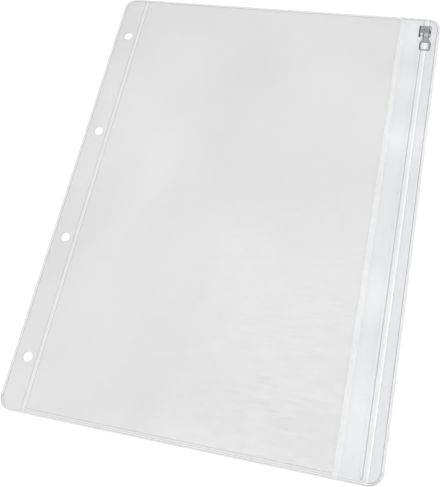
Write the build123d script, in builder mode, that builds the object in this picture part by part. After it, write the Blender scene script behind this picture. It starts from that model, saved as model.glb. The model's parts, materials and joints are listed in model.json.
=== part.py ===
from build123d import *
import os
from math import atan2, cos, degrees, floor, radians, sin

# A binder pocket of clear film with a slide zip along one edge, lying flat and closed.
# Sizes are millimetres. X runs from the punched margin to the zip, Y runs along the margin
# towards the slider, and Z points up from the surface that the pocket lies on.
# The origin is on that surface, under the middle of the sheet.

# Film
sheet_width = 230.0
sheet_length = 306.0
corner_radius = 8.3
film_thickness = 0.2
pocket_gap = 0.3

# Welds, and the lines that the welding tool presses into the front
rim_weld_width = 1.8
rim_line_width = 0.4
foot_line_setback = 3.1
margin_weld_width = 1.5
margin_weld_shoulder = 0.8
press_depth = 0.1

# Punched binding margin
hole_diameter = 6.5
hole_setback = 9.5
hole_pitch = 80.0
hole_end_land = 20.0
hole_to_weld = 2.4

# Zip tape
tape_thickness = 0.35
tape_reach = 17.15
tape_overlap = 3.5
zip_setback = 9.85

# Zip rails: the inner rail's hook stands in the outer rail's cap
rail_inner_wall = 0.6
rail_outer_wall = 1.25
rail_lip = 0.5
rail_lip_height = 0.7
rail_round = 0.25
rail_floor = 0.6
rail_roof = 0.6
leg_thickness = 0.8
hook_thickness = 0.6
hook_height = 0.8
hook_side_clear = 0.2
hook_end_clear = 0.3
rail_end_setback = 2.5
rail_end_slope = 50.0

# Slider
slide_clear = 0.15
slider_setback = 7.85
slider_inner_wall = 1.1
slider_outer_wall = 1.5
slider_plate = 0.8
slider_corner = 0.8
slider_edge = 0.7
slider_ramp_length = 1.5
slider_ramp_drop = 0.4
separator_thickness = 0.25
separator_length = 1.6
separator_depth = 1.2

# Bail over the slider, which the pull hangs on, off the slider's middle towards the sheet's edge
bail_offset = 1.2
bail_width = 2.0
bail_thickness = 0.6
bail_corner = 1.0
bail_window_corner = 0.4
bail_edge = 0.2
bail_land = 1.7
bar_clear = 0.35
bar_play = 1.1

# Pull
pull_thickness = 0.6
pull_bar_diameter = 1.0
pull_arm = 0.85
pull_neck_length = 7.6
pull_flare_length = 2.9
pull_head_length = 5.6
pull_frame = 1.55
pull_tip_bar = 0.85
pull_window_width = 4.4
pull_window_rise = 0.4
pull_tip_corner = 1.6
pull_window_corner = 0.7
pull_edge = 0.25
eye_side_clear = 0.2
eye_end_clear = 0.4
pull_rest_clear = 0.25
pull_plate_clear = 0.12

# Levels
front_bottom = film_thickness + pocket_gap
front_top = front_bottom + film_thickness
tape_bottom = front_top
tape_top = tape_bottom + tape_thickness
rail_floor_top = tape_bottom + rail_floor
hook_top = rail_floor_top + hook_height
leg_bottom = rail_floor_top + hook_end_clear
roof_bottom = hook_top + hook_end_clear
rail_top = roof_bottom + rail_roof
lip_bottom = rail_top - rail_lip_height
plate_bottom = rail_top + slide_clear
plate_top = plate_bottom + slider_plate

# Places across the sheet
left_edge = -sheet_width / 2
right_edge = sheet_width / 2
top_edge = sheet_length / 2
margin_weld_x = (left_edge + hole_setback + hole_diameter / 2 + hole_to_weld
                 + margin_weld_shoulder + margin_weld_width / 2)
rail_x = right_edge - zip_setback
tape_inner_x = rail_x - tape_reach
slit_x = tape_inner_x + tape_overlap

# The rails' walls, counted across from the inner rail's wall
groove_width = separator_thickness + 2 * slide_clear
rail_body_width = (rail_inner_wall + groove_width + leg_thickness + hook_thickness
                   + 2 * hook_side_clear + rail_outer_wall)
rail_half = rail_body_width / 2
lip_half = rail_half + rail_lip
inner_wall_x = rail_x - rail_half
groove_x = inner_wall_x + rail_inner_wall
leg_x = groove_x + groove_width
leg_end_x = leg_x + leg_thickness
hook_x = leg_end_x + hook_side_clear
hook_end_x = hook_x + hook_thickness
outer_wall_x = hook_end_x + hook_side_clear
outer_wall_end_x = rail_x + rail_half

# Slider, bail and pull, from the bar that the pull turns on
bar_radius = pull_bar_diameter / 2
bail_window_length = 2 * (bar_radius + bar_play)
bail_window_height = 2 * (bar_radius + bar_clear)
bail_length = bail_window_length + 2 * bail_thickness
slider_length = bail_length + 2 * bail_land
channel_half = lip_half + slide_clear
slider_inner_half = channel_half + slider_inner_wall
slider_outer_half = channel_half + slider_outer_wall
slider_lip_half = rail_half + slide_clear
slider_bottom = tape_top + slide_clear
slider_lip_top = lip_bottom - slide_clear
slider_y = top_edge - slider_setback - slider_length / 2
slider_front_y = slider_y - slider_length / 2
separator_end_y = top_edge - slider_setback - slider_corner
bail_x = rail_x + bail_offset
pivot_z = plate_top + bail_window_height / 2

# The pull at rest lies on the rails or on the slider's plate, whichever holds it higher
pull_length = pull_neck_length + pull_flare_length + pull_head_length
pull_underside = pivot_z - pull_thickness / 2
tilt_on_rails = atan2(pull_underside - rail_top - pull_rest_clear, pull_length)
tilt_on_plate = atan2(pull_underside - plate_top - pull_plate_clear, slider_length / 2)
pull_tilt = min(tilt_on_rails, tilt_on_plate)
eye_width = bail_width + 2 * eye_side_clear
eye_reach = bail_length / 2 + eye_end_clear
neck_half = eye_width / 2 + pull_arm
head_half = pull_window_width / 2 + pull_frame

hole_count = floor((sheet_length - 2 * hole_end_land) / hole_pitch) + 1

os.makedirs("parts", exist_ok=True)


def sheet_outline(inset):
    """The sheet's rounded outline, drawn in by an inset on every side."""
    with BuildSketch() as outline:
        RectangleRounded(sheet_width - 2 * inset, sheet_length - 2 * inset, corner_radius - inset)
    return outline.sketch


def strip_outline(from_x, to_x, inset=0.0):
    """The sheet's outline between two places across it."""
    with BuildSketch() as strip:
        add(sheet_outline(inset))
        with Locations(((from_x + to_x) / 2, 0)):
            Rectangle(to_x - from_x, sheet_length, mode=Mode.INTERSECT)
    return strip.sketch


def rim_line(from_x, to_x):
    """The thin line that the welding tool leaves along the inside of the rim."""
    with BuildSketch() as line:
        add(strip_outline(from_x, to_x, rim_weld_width - rim_line_width / 2))
        add(sheet_outline(rim_weld_width + rim_line_width / 2), mode=Mode.SUBTRACT)
    return line.sketch


def rim_ring():
    """The flat ring that the rim weld covers."""
    with BuildSketch() as ring:
        add(sheet_outline(0.0))
        add(sheet_outline(rim_weld_width), mode=Mode.SUBTRACT)
    return ring.sketch


def at_level(sketch, level):
    """A flat sketch raised to a level above the surface."""
    return sketch.moved(Location((0, 0, level)))


# Back film: one flat sheet with the binding holes
with BuildPart() as back_film:
    extrude(sheet_outline(0.0), amount=film_thickness)
    with Locations((left_edge + hole_setback, 0, film_thickness)):
        with GridLocations(0, hole_pitch, 1, hole_count):
            Hole(hole_diameter / 2)
back_film.part.label = "back_film"
export_step(back_film.part, "parts/back_film.step")


# Front film: from the binding edge to the slit under the zip tape
with BuildPart() as front_film:
    extrude(at_level(strip_outline(left_edge, slit_x), front_bottom), amount=film_thickness)
    with Locations((left_edge + hole_setback, 0, front_top)):
        with GridLocations(0, hole_pitch, 1, hole_count):
            Hole(hole_diameter / 2)
    extrude(at_level(rim_line(left_edge, slit_x), front_top), amount=-press_depth, mode=Mode.SUBTRACT)
    with BuildSketch(Plane.XZ):
        with BuildLine():
            floor_half = margin_weld_width / 2
            mouth_half = floor_half + margin_weld_shoulder
            Polyline(
                (margin_weld_x - mouth_half, front_top),
                (margin_weld_x - floor_half, front_top - press_depth),
                (margin_weld_x + floor_half, front_top - press_depth),
                (margin_weld_x + mouth_half, front_top),
                close=True,
            )
        make_face()
    extrude(amount=top_edge - rim_weld_width, both=True, mode=Mode.SUBTRACT)
    with BuildSketch(Plane.XY.offset(front_top)):
        foot_line_start = margin_weld_x + mouth_half
        with Locations(((foot_line_start + tape_inner_x) / 2, foot_line_setback - top_edge)):
            Rectangle(tape_inner_x - foot_line_start, rim_line_width)
    extrude(amount=-press_depth, mode=Mode.SUBTRACT)
front_film.part.label = "front_film"
export_step(front_film.part, "parts/front_film.step")


# Rim weld: the fused edge between the films, and under the zip tape up to the tape itself.
# It is one line round the sheet, kept as straight sides and corners.
straight_half_x = sheet_width / 2 - corner_radius
straight_half_y = sheet_length / 2 - corner_radius

with BuildPart() as rim_weld_spine:
    with BuildSketch(Plane.XY.offset(film_thickness)):
        with Locations((left_edge + rim_weld_width / 2, 0)):
            Rectangle(rim_weld_width, 2 * straight_half_y)
    extrude(amount=pocket_gap)
rim_weld_spine.part.label = "rim_weld_spine"
export_step(rim_weld_spine.part, "parts/rim_weld_spine.step")

with BuildPart() as rim_weld_zip:
    with BuildSketch(Plane.XY.offset(film_thickness)):
        with Locations((right_edge - rim_weld_width / 2, 0)):
            Rectangle(rim_weld_width, 2 * straight_half_y)
    extrude(amount=tape_bottom - film_thickness)
rim_weld_zip.part.label = "rim_weld_zip"
export_step(rim_weld_zip.part, "parts/rim_weld_zip.step")

with BuildPart() as rim_weld_top:
    with BuildSketch(Plane.XZ.offset(-top_edge)):
        with BuildLine():
            Polyline(
                (-straight_half_x, film_thickness),
                (straight_half_x, film_thickness),
                (straight_half_x, tape_bottom),
                (slit_x, tape_bottom),
                (slit_x, front_bottom),
                (-straight_half_x, front_bottom),
                close=True,
            )
        make_face()
    extrude(amount=rim_weld_width)
rim_weld_top.part.label = "rim_weld_top"
export_step(rim_weld_top.part, "parts/rim_weld_top.step")

with BuildPart() as rim_weld_bottom:
    add(rim_weld_top.part)
    mirror(about=Plane.XZ, mode=Mode.REPLACE)
rim_weld_bottom.part.label = "rim_weld_bottom"
export_step(rim_weld_bottom.part, "parts/rim_weld_bottom.step")

with BuildPart() as rim_weld_corners:
    for side, weld_top in ((-1, front_bottom), (1, tape_bottom)):
        with BuildSketch(Plane.XY.offset(film_thickness)):
            add(rim_ring())
            with Locations((side * (sheet_width - corner_radius) / 2, 0)):
                with GridLocations(0, sheet_length - corner_radius, 1, 2):
                    Rectangle(corner_radius, corner_radius, mode=Mode.INTERSECT)
        extrude(amount=weld_top - film_thickness)
rim_weld_corners.part.label = "rim_weld_corners"
export_step(rim_weld_corners.part, "parts/rim_weld_corners.step")


# Margin weld: the seam that keeps the paper off the punched margin
with BuildPart() as margin_weld:
    with BuildSketch(Plane.XY.offset(film_thickness)):
        with Locations((margin_weld_x, 0)):
            Rectangle(margin_weld_width, sheet_length - 2 * rim_weld_width)
    extrude(amount=pocket_gap)
margin_weld.part.label = "margin_weld"
export_step(margin_weld.part, "parts/margin_weld.step")


# Zip: two extruded strips, each a flat tape with a rail, the rails hooked into each other.
# A rail stops short of the sheet's ends, where it is pressed down to a slope.
slope = radians(rail_end_slope)
rail_end_y = top_edge - rail_end_setback
rail_end_planes = [
    Plane(
        origin=(rail_x, end * rail_end_y, tape_top),
        x_dir=(1, 0, 0),
        z_dir=(0, end * sin(slope), cos(slope)),
    )
    for end in (-1, 1)
]

with BuildPart() as zip_inner_strip:
    with BuildSketch(Plane.XZ):
        with BuildLine():
            Polyline(
                (inner_wall_x, tape_bottom),
                (hook_end_x, tape_bottom),
                (hook_end_x, hook_top),
                (hook_x, hook_top),
                (hook_x, rail_floor_top),
                (groove_x, rail_floor_top),
                (groove_x, rail_top),
                (inner_wall_x - rail_lip, rail_top),
                (inner_wall_x - rail_lip, lip_bottom),
                (inner_wall_x, lip_bottom),
                close=True,
            )
        make_face()
    extrude(amount=top_edge, both=True)
    for end_plane in rail_end_planes:
        split(bisect_by=end_plane, keep=Keep.BOTTOM)
    fillet(zip_inner_strip.edges().filter_by(Axis.Y).group_by(Axis.Z)[-1], rail_round)
    extrude(at_level(strip_outline(tape_inner_x, hook_end_x), tape_bottom), amount=tape_thickness)
    extrude(
        at_level(rim_line(tape_inner_x, inner_wall_x), tape_top), amount=-press_depth, mode=Mode.SUBTRACT
    )
zip_inner_strip.part.label = "zip_inner_strip"
export_step(zip_inner_strip.part, "parts/zip_inner_strip.step")

with BuildPart() as zip_outer_strip:
    with BuildSketch(Plane.XZ):
        with BuildLine():
            Polyline(
                (outer_wall_end_x, tape_bottom),
                (outer_wall_x, tape_bottom),
                (outer_wall_x, roof_bottom),
                (leg_end_x, roof_bottom),
                (leg_end_x, leg_bottom),
                (leg_x, leg_bottom),
                (leg_x, rail_top),
                (outer_wall_end_x + rail_lip, rail_top),
                (outer_wall_end_x + rail_lip, lip_bottom),
                (outer_wall_end_x, lip_bottom),
                close=True,
            )
        make_face()
    extrude(amount=top_edge, both=True)
    for end_plane in rail_end_planes:
        split(bisect_by=end_plane, keep=Keep.BOTTOM)
    fillet(zip_outer_strip.edges().filter_by(Axis.Y).group_by(Axis.Z)[-1], rail_round)
    extrude(at_level(strip_outline(outer_wall_x, right_edge), tape_bottom), amount=tape_thickness)
    extrude(
        at_level(rim_line(outer_wall_end_x, right_edge), tape_top), amount=-press_depth, mode=Mode.SUBTRACT
    )
zip_outer_strip.part.label = "zip_outer_strip"
export_step(zip_outer_strip.part, "parts/zip_outer_strip.step")


# Slider body: a cast channel that runs on the rails' lips, with a separator in the groove.
# Between its walls the plate slopes down to the front, under the pull.
with BuildPart() as slider_body:
    with BuildSketch(Plane.XZ.offset(-slider_y)):
        with BuildLine():
            Polyline(
                (rail_x - slider_inner_half, slider_bottom),
                (rail_x - slider_lip_half, slider_bottom),
                (rail_x - slider_lip_half, slider_lip_top),
                (rail_x - channel_half, slider_lip_top),
                (rail_x - channel_half, plate_bottom),
                (rail_x + channel_half, plate_bottom),
                (rail_x + channel_half, slider_lip_top),
                (rail_x + slider_lip_half, slider_lip_top),
                (rail_x + slider_lip_half, slider_bottom),
                (rail_x + slider_outer_half, slider_bottom),
                (rail_x + slider_outer_half, plate_top),
                (rail_x - slider_inner_half, plate_top),
                close=True,
            )
        make_face()
    extrude(amount=slider_length / 2, both=True)
    corner_edges = slider_body.edges().filter_by(Axis.Z).group_by(Axis.X)
    fillet(corner_edges[0] + corner_edges[-1], slider_corner)
    fillet(slider_body.faces().sort_by(Axis.Z)[-1].edges(), slider_edge)
    with BuildSketch(Plane.YZ.offset(rail_x)):
        with BuildLine():
            Polyline(
                (slider_front_y, plate_top - slider_ramp_drop),
                (slider_front_y, plate_top),
                (slider_front_y + slider_ramp_length, plate_top),
                close=True,
            )
        make_face()
    extrude(amount=channel_half, both=True, mode=Mode.SUBTRACT)
    with Locations((groove_x + groove_width / 2, separator_end_y, plate_bottom)):
        Box(
            separator_thickness,
            separator_length,
            slide_clear + separator_depth,
            align=(Align.CENTER, Align.MAX, Align.MAX),
        )
slider_body.part.label = "slider_body"
export_step(slider_body.part, "parts/slider_body.step")


# Bail: a low arch over the slider's plate
def arch(length, height, corner):
    """An upright rectangle standing on the plate, with its two upper corners rounded."""
    with BuildSketch() as face:
        Rectangle(length, height, align=(Align.CENTER, Align.MIN))
        fillet(face.vertices().group_by(Axis.Y)[-1], corner)
    return face.sketch


bail_plane = Plane(origin=(bail_x, slider_y, plate_top), x_dir=(0, 1, 0), z_dir=(1, 0, 0))

with BuildPart() as slider_bail:
    with BuildSketch(bail_plane):
        add(arch(bail_length, bail_window_height + bail_thickness, bail_corner))
        add(arch(bail_window_length, bail_window_height, bail_window_corner), mode=Mode.SUBTRACT)
    extrude(amount=bail_width / 2, both=True)
    bail_sides = slider_bail.faces().filter_by(Axis.X)
    fillet(bail_sides.edges().group_by(Axis.Z)[1:], bail_edge)
slider_bail.part.label = "slider_bail"
export_step(slider_bail.part, "parts/slider_bail.step")


# Pull: a flat stamped tab with an eye for the bail at one end and a framed window at the other
pull_plane = Plane(
    origin=(bail_x, slider_y, pivot_z),
    x_dir=(1, 0, 0),
    z_dir=(0, -sin(pull_tilt), cos(pull_tilt)),
)
flare_start = -pull_neck_length
flare_end = flare_start - pull_flare_length
tip = -pull_length

with BuildPart() as pull_tab:
    with BuildSketch(pull_plane) as tab_outline:
        with BuildLine():
            Polyline(
                (-neck_half, 0),
                (-neck_half, flare_start),
                (-head_half, flare_end),
                (-head_half, tip),
                (head_half, tip),
                (head_half, flare_end),
                (neck_half, flare_start),
                (neck_half, 0),
                close=True,
            )
        make_face()
        fillet(tab_outline.vertices().group_by(Axis.Y)[0], pull_tip_corner)
    extrude(amount=pull_thickness / 2, both=True)
    with BuildSketch(pull_plane) as tab_openings:
        with Locations((0, tip + pull_tip_bar)):
            Rectangle(
                pull_window_width,
                pull_head_length - pull_tip_bar + pull_window_rise,
                align=(Align.CENTER, Align.MIN),
            )
        fillet(tab_openings.vertices(), pull_window_corner)
        Rectangle(eye_width, eye_reach, align=(Align.CENTER, Align.MAX))
    extrude(amount=pull_thickness, both=True, mode=Mode.SUBTRACT)
    flat_faces = pull_tab.faces().sort_by(SortBy.AREA)[-2:]
    fillet(flat_faces.edges(), pull_edge)
    with BuildSketch(Plane.YZ.offset(bail_x)):
        with Locations((slider_y, pivot_z)):
            Circle(bar_radius)
    extrude(amount=neck_half, both=True)
pull_tab.part.label = "pull_tab"
export_step(pull_tab.part, "parts/pull_tab.step")

slider_travel = sheet_length - 2 * slider_setback - slider_length
print(f"pull pivot at x {bail_x:.3f}, y {slider_y:.3f}, z {pivot_z:.3f}")
print(f"pull lies {degrees(pull_tilt):.3f} degrees below level and swings to the other side")
print(f"slider travels {slider_travel:.3f}, margin has {hole_count} holes")
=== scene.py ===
"""A binder pocket of clear film with a slide zip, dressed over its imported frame.

The films, the pressed welds and the extruded zip strips are modelled here. The slider, its bail
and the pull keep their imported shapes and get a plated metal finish. Sizes are millimetres until
a mesh is made, which is in metres.
"""
import json
import logging
import math
import random
from collections.abc import Callable, Iterator
from contextlib import contextmanager
from dataclasses import dataclass
from enum import Enum

import bmesh
import bpy
from mathutils import Matrix, Vector, noise


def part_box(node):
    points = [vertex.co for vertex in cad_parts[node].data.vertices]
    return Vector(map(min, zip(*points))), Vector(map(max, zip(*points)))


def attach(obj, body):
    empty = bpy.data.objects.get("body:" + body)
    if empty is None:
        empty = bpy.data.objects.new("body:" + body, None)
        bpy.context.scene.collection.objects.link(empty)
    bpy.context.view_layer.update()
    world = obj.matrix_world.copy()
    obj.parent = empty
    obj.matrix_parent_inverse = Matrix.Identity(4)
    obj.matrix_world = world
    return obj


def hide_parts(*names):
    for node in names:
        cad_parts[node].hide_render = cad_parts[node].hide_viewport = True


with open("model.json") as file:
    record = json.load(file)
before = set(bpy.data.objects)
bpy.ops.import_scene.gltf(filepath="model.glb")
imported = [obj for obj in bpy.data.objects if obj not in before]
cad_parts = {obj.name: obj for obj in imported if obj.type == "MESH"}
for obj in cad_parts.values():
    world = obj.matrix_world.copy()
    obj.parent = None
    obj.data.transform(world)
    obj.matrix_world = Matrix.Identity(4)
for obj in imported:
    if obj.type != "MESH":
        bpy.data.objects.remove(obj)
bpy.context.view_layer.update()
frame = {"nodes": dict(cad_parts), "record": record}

MM = 0.001
LOG = logging.getLogger("zip_pocket")
POCKET = "pocket"
# Millimetres: how near two levels count as one, how near two points do, and what a long edge is.
HAIR = 0.01
MERGE = 0.001
LONG_EDGE = 100.0
# The part of a face's normal along an axis from which it counts as square to it, or as facing up.
SQUARE = 0.9
UPWARD = 0.5
# The steps of a rounded sheet corner, and of a bead's rounded edge.
CORNER_STEPS = 18
BEAD_STEPS = 2
# The corners of a plain face.
QUAD = 4
# How strongly soft PVC and the zip's polymer bend light.
PVC_IOR = 1.54
ZIP_IOR = 1.5
# A Mix node's sockets for numbers and for colours.
NUMBER_A, NUMBER_B = 2, 3
COLOUR_A, COLOUR_B, COLOUR_OUT = 6, 7, 2
# The ways that a rail's faces look.
RIGHT, LEFT, UP, DOWN = (1, 0, 0), (-1, 0, 0), (0, 0, 1), (0, 0, -1)

Piece = bpy.types.Object
Tree = bpy.types.NodeTree
Node = bpy.types.Node
Socket = bpy.types.NodeSocket
Place = tuple[float, float, float]
Span = tuple[float, float]
Inputs = dict[str | int, object]
HeightRule = Callable[[float, float, float], float]
Surface = Callable[[float, float], float]
FaceRule = Callable[[Vector, Vector], Enum]


class Element(Enum):
    """The mesh elements that a selection takes."""

    EDGE = "edges"
    FACE = "faces"


class Slot(Enum):
    """The record's material slots of the modelled pieces."""

    FILM = "clear_film"
    WELD = "weld"
    TAPE = "zip_tape"


class Zone(Enum):
    """The zones of a film that have a finish of their own."""

    FILM = 0
    RIM = 1
    SEAM = 2
    EDGE = 3


class Press(Enum):
    """How a bar has pressed a weld line, and how dark its painted shade is."""

    PLAIN = 0
    DEEP = 1
    FLAT = 2
    LIGHT = 3


class Part(Enum):
    """The parts of a zip strip that have a finish of their own."""

    TAPE = 0
    FLANGE = 1
    ROOF = 2
    FOOT = 3
    GROOVE = 4
    CORE = 5
    BAND = 6
    EDGE = 7
    SHOULDER = 8


class Keep(Enum):
    """The side of a cut that stays: both sides, or the one before or after the cut."""

    BOTH = 0
    BEFORE = 1
    AFTER = 2


def linear(code: str) -> tuple[float, float, float, float]:
    """Turn an sRGB hex colour into linear light.

    Args:
        code: six hex digits, with or without a leading hash.

    Returns:
        Red, green, blue and a full alpha.
    """
    digits = code.lstrip("#")
    shares = [int(digits[i:i + 2], 16) / 255 for i in (0, 2, 4)]
    red, green, blue = (s / 12.92 if s <= 0.04045 else ((s + 0.055) / 1.055) ** 2.4 for s in shares)
    return red, green, blue, 1.0


def add_node(tree: Tree, kind: str, inputs: Inputs | None = None, **settings: object) -> Node:
    """Add a node with its settings and links.

    Args:
        tree: the node tree that takes the node.
        kind: the node's type.
        inputs: a value, or an output socket to link from, for each named or numbered input.
        settings: the node's own properties.

    Returns:
        The new node.
    """
    node = tree.nodes.new(kind)
    for name, value in settings.items():
        setattr(node, name, value)
    for name, value in (inputs or {}).items():
        if isinstance(value, Socket):
            tree.links.new(value, node.inputs[name])
        else:
            node.inputs[name].default_value = value
    return node


def ease(share: float) -> float:
    """Ease a share from 0 to 1, flat at both ends."""
    held = min(max(share, 0.0), 1.0)
    return held * held * (3 - 2 * held)


def alone(piece: Piece) -> None:
    """Make a piece the only selected object, and the active one.

    Args:
        piece: the piece to select.
    """
    bpy.ops.object.select_all(action="DESELECT")
    piece.select_set(True)
    bpy.context.view_layer.objects.active = piece


@contextmanager
def shaping(piece: Piece) -> Iterator[None]:
    """Hold a piece in edit mode, with nothing else selected.

    Args:
        piece: the piece to shape.
    """
    alone(piece)
    bpy.ops.object.mode_set(mode="EDIT")
    yield
    bpy.ops.object.mode_set(mode="OBJECT")


def pick(piece: Piece, element: Element, wanted: Callable[[Vector, object], bool]) -> None:
    """Select the elements of a piece in edit mode that pass a test.

    Args:
        piece: the piece in edit mode.
        element: what to select.
        wanted: a test of an element's middle in millimetres and of the element itself.
    """
    bpy.ops.mesh.select_mode(type=element.name)
    bpy.ops.mesh.select_all(action="DESELECT")
    mesh = bmesh.from_edit_mesh(piece.data)
    for item in getattr(mesh, element.value):
        middle = sum((corner.co for corner in item.verts), Vector()) / len(item.verts) / MM
        item.select_set(wanted(middle, item))
    mesh.select_flush_mode()
    bmesh.update_edit_mesh(piece.data)


def block(name: str, low: Place, high: Place) -> Piece:
    """Add a cube between two corners, with its place in its mesh.

    Args:
        name: the piece's name.
        low: its lowest corner, in millimetres.
        high: its highest corner, in millimetres.

    Returns:
        The new piece.
    """
    bpy.ops.object.select_all(action="DESELECT")
    middle = [(a + b) / 2 * MM for a, b in zip(low, high)]
    bpy.ops.mesh.primitive_cube_add(size=1, location=middle)
    piece = bpy.context.active_object
    piece.name = piece.data.name = name
    piece.scale = [(b - a) * MM for a, b in zip(low, high)]
    bpy.ops.object.transform_apply(location=True, rotation=True, scale=True)
    return piece


def cut(piece: Piece, point: Place, normal: Place, keep: Keep = Keep.BOTH) -> None:
    """Cut a piece in edit mode along a plane.

    Args:
        piece: the piece in edit mode.
        point: a point on the plane, in millimetres.
        normal: the plane's direction.
        keep: the side that stays.
    """
    bpy.ops.mesh.select_all(action="SELECT")
    bpy.ops.mesh.bisect(
        plane_co=Vector(point) * MM,
        plane_no=normal,
        use_fill=keep is not Keep.BOTH,
        clear_outer=keep is Keep.BEFORE,
        clear_inner=keep is Keep.AFTER,
    )


def rows(start: float, stop: float, pitch: float) -> list[float]:
    """Space places evenly between two ends, which are left out, at about a pitch."""
    count = max(1, round((stop - start) / pitch))
    return [start + (stop - start) * i / count for i in range(1, count)]


def finish_with(piece: Piece, kind: str, **settings: object) -> None:
    """Add a modifier to a piece and apply it.

    Args:
        piece: the piece to change.
        kind: the modifier's type.
        settings: the modifier's properties.
    """
    alone(piece)
    modifier = piece.modifiers.new(kind.title(), kind)
    for name, value in settings.items():
        setattr(modifier, name, value)
    bpy.ops.object.modifier_apply(modifier=modifier.name)


def lift(piece: Piece, rule: HeightRule) -> None:
    """Raise or lower every point of a piece.

    Args:
        piece: the piece to shape.
        rule: the rise at a place, all in millimetres.
    """
    for vertex in piece.data.vertices:
        x, y, z = vertex.co / MM
        vertex.co.z += rule(x, y, z) * MM


def join(name: str, pieces: list[Piece]) -> Piece:
    """Join pieces into the first one.

    Args:
        name: the joined piece's name.
        pieces: what to join.

    Returns:
        The joined piece.
    """
    alone(pieces[0])
    for piece in pieces[1:]:
        piece.select_set(True)
    if len(pieces) > 1:
        bpy.ops.object.join()
    pieces[0].name = pieces[0].data.name = name
    return pieces[0]


@dataclass(frozen=True)
class Patch:
    """A soft oval patch on a piece: its middle, half sizes and turn, and how far it shifts a share."""

    middle: Span
    reach: Span
    strength: float
    turn: float = 0.0

    def share(self, tree: Tree, place: Socket) -> Socket:
        """Wire the patch's shift at a place.

        Args:
            tree: the finish's node tree.
            place: the place on the piece.

        Returns:
            The shift, full in the patch's middle and none at its edge.
        """
        local = add_node(tree, "ShaderNodeMapping", {
            "Vector": place,
            "Location": (self.middle[0] * MM, self.middle[1] * MM, 0.0),
            "Rotation": (0.0, 0.0, math.radians(self.turn)),
            "Scale": (self.reach[0] * MM, self.reach[1] * MM, 1.0)}, vector_type="TEXTURE")
        away = add_node(tree, "ShaderNodeVectorMath", {0: local.outputs["Vector"]}, operation="LENGTH")
        fade = add_node(tree, "ShaderNodeMapRange", {
            "Value": away.outputs["Value"], "To Min": self.strength, "To Max": 0.0},
            interpolation_type="SMOOTHSTEP")
        return fade.outputs["Result"]


def add_patches(tree: Tree, place: Socket, share: Socket, patches: tuple[Patch, ...]) -> Socket:
    """Add a finish's soft patches to the share that mixes its tint.

    Args:
        tree: the finish's node tree.
        place: the place on the piece.
        share: the share without patches.
        patches: the patches to add.

    Returns:
        The share with all patches added.
    """
    for patch in patches:
        share = add_node(tree, "ShaderNodeMath", {0: share, 1: patch.share(tree, place)}).outputs[0]
    return share


@dataclass(frozen=True)
class Border:
    """A border of painted shade along both sides of a metal piece, which may widen between two places."""

    middle: float
    half: float
    wide_half: float
    start: float
    stop: float
    width: float
    strength: float
    full: float = 0.4

    def share(self, tree: Tree, place: Socket) -> Socket:
        """Wire the border's strength at a place.

        Args:
            tree: the finish's node tree.
            place: the place on the piece.

        Returns:
            The strength, full at the piece's sides and none past the border's width.
        """
        spot = add_node(tree, "ShaderNodeSeparateXYZ", {0: place})
        half = add_node(tree, "ShaderNodeMapRange", {
            "Value": spot.outputs["Y"], "From Min": self.start * MM, "From Max": self.stop * MM,
            "To Min": self.half * MM, "To Max": self.wide_half * MM})
        off = add_node(tree, "ShaderNodeMath", {
            0: spot.outputs["X"], 1: self.middle * MM}, operation="SUBTRACT")
        apart = add_node(tree, "ShaderNodeMath", {0: off.outputs[0]}, operation="ABSOLUTE")
        inside = add_node(tree, "ShaderNodeMath", {
            0: half.outputs["Result"], 1: apart.outputs[0]}, operation="SUBTRACT")
        fade = add_node(tree, "ShaderNodeMapRange", {
            "Value": inside.outputs[0], "From Min": self.full * self.width * MM,
            "From Max": self.width * MM, "To Min": self.strength, "To Max": 0.0})
        return fade.outputs["Result"]


@dataclass(frozen=True)
class Finish:
    """A finish: its name and how its shader is wired."""

    name: str

    def material(self) -> bpy.types.Material:
        """Make the material once, and give the same one afterwards.

        Returns:
            The material.
        """
        made = bpy.data.materials.get(self.name)
        if made is None:
            made = bpy.data.materials.new(self.name)
            made.use_nodes = True
            shader = made.node_tree.nodes["Principled BSDF"]
            self.wire(made.node_tree, shader)
        return made

    def wire(self, tree: Tree, shader: Node) -> None:
        """Wire the shader of this finish.

        Args:
            tree: the material's node tree.
            shader: its shader node.
        """
        raise NotImplementedError


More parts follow.
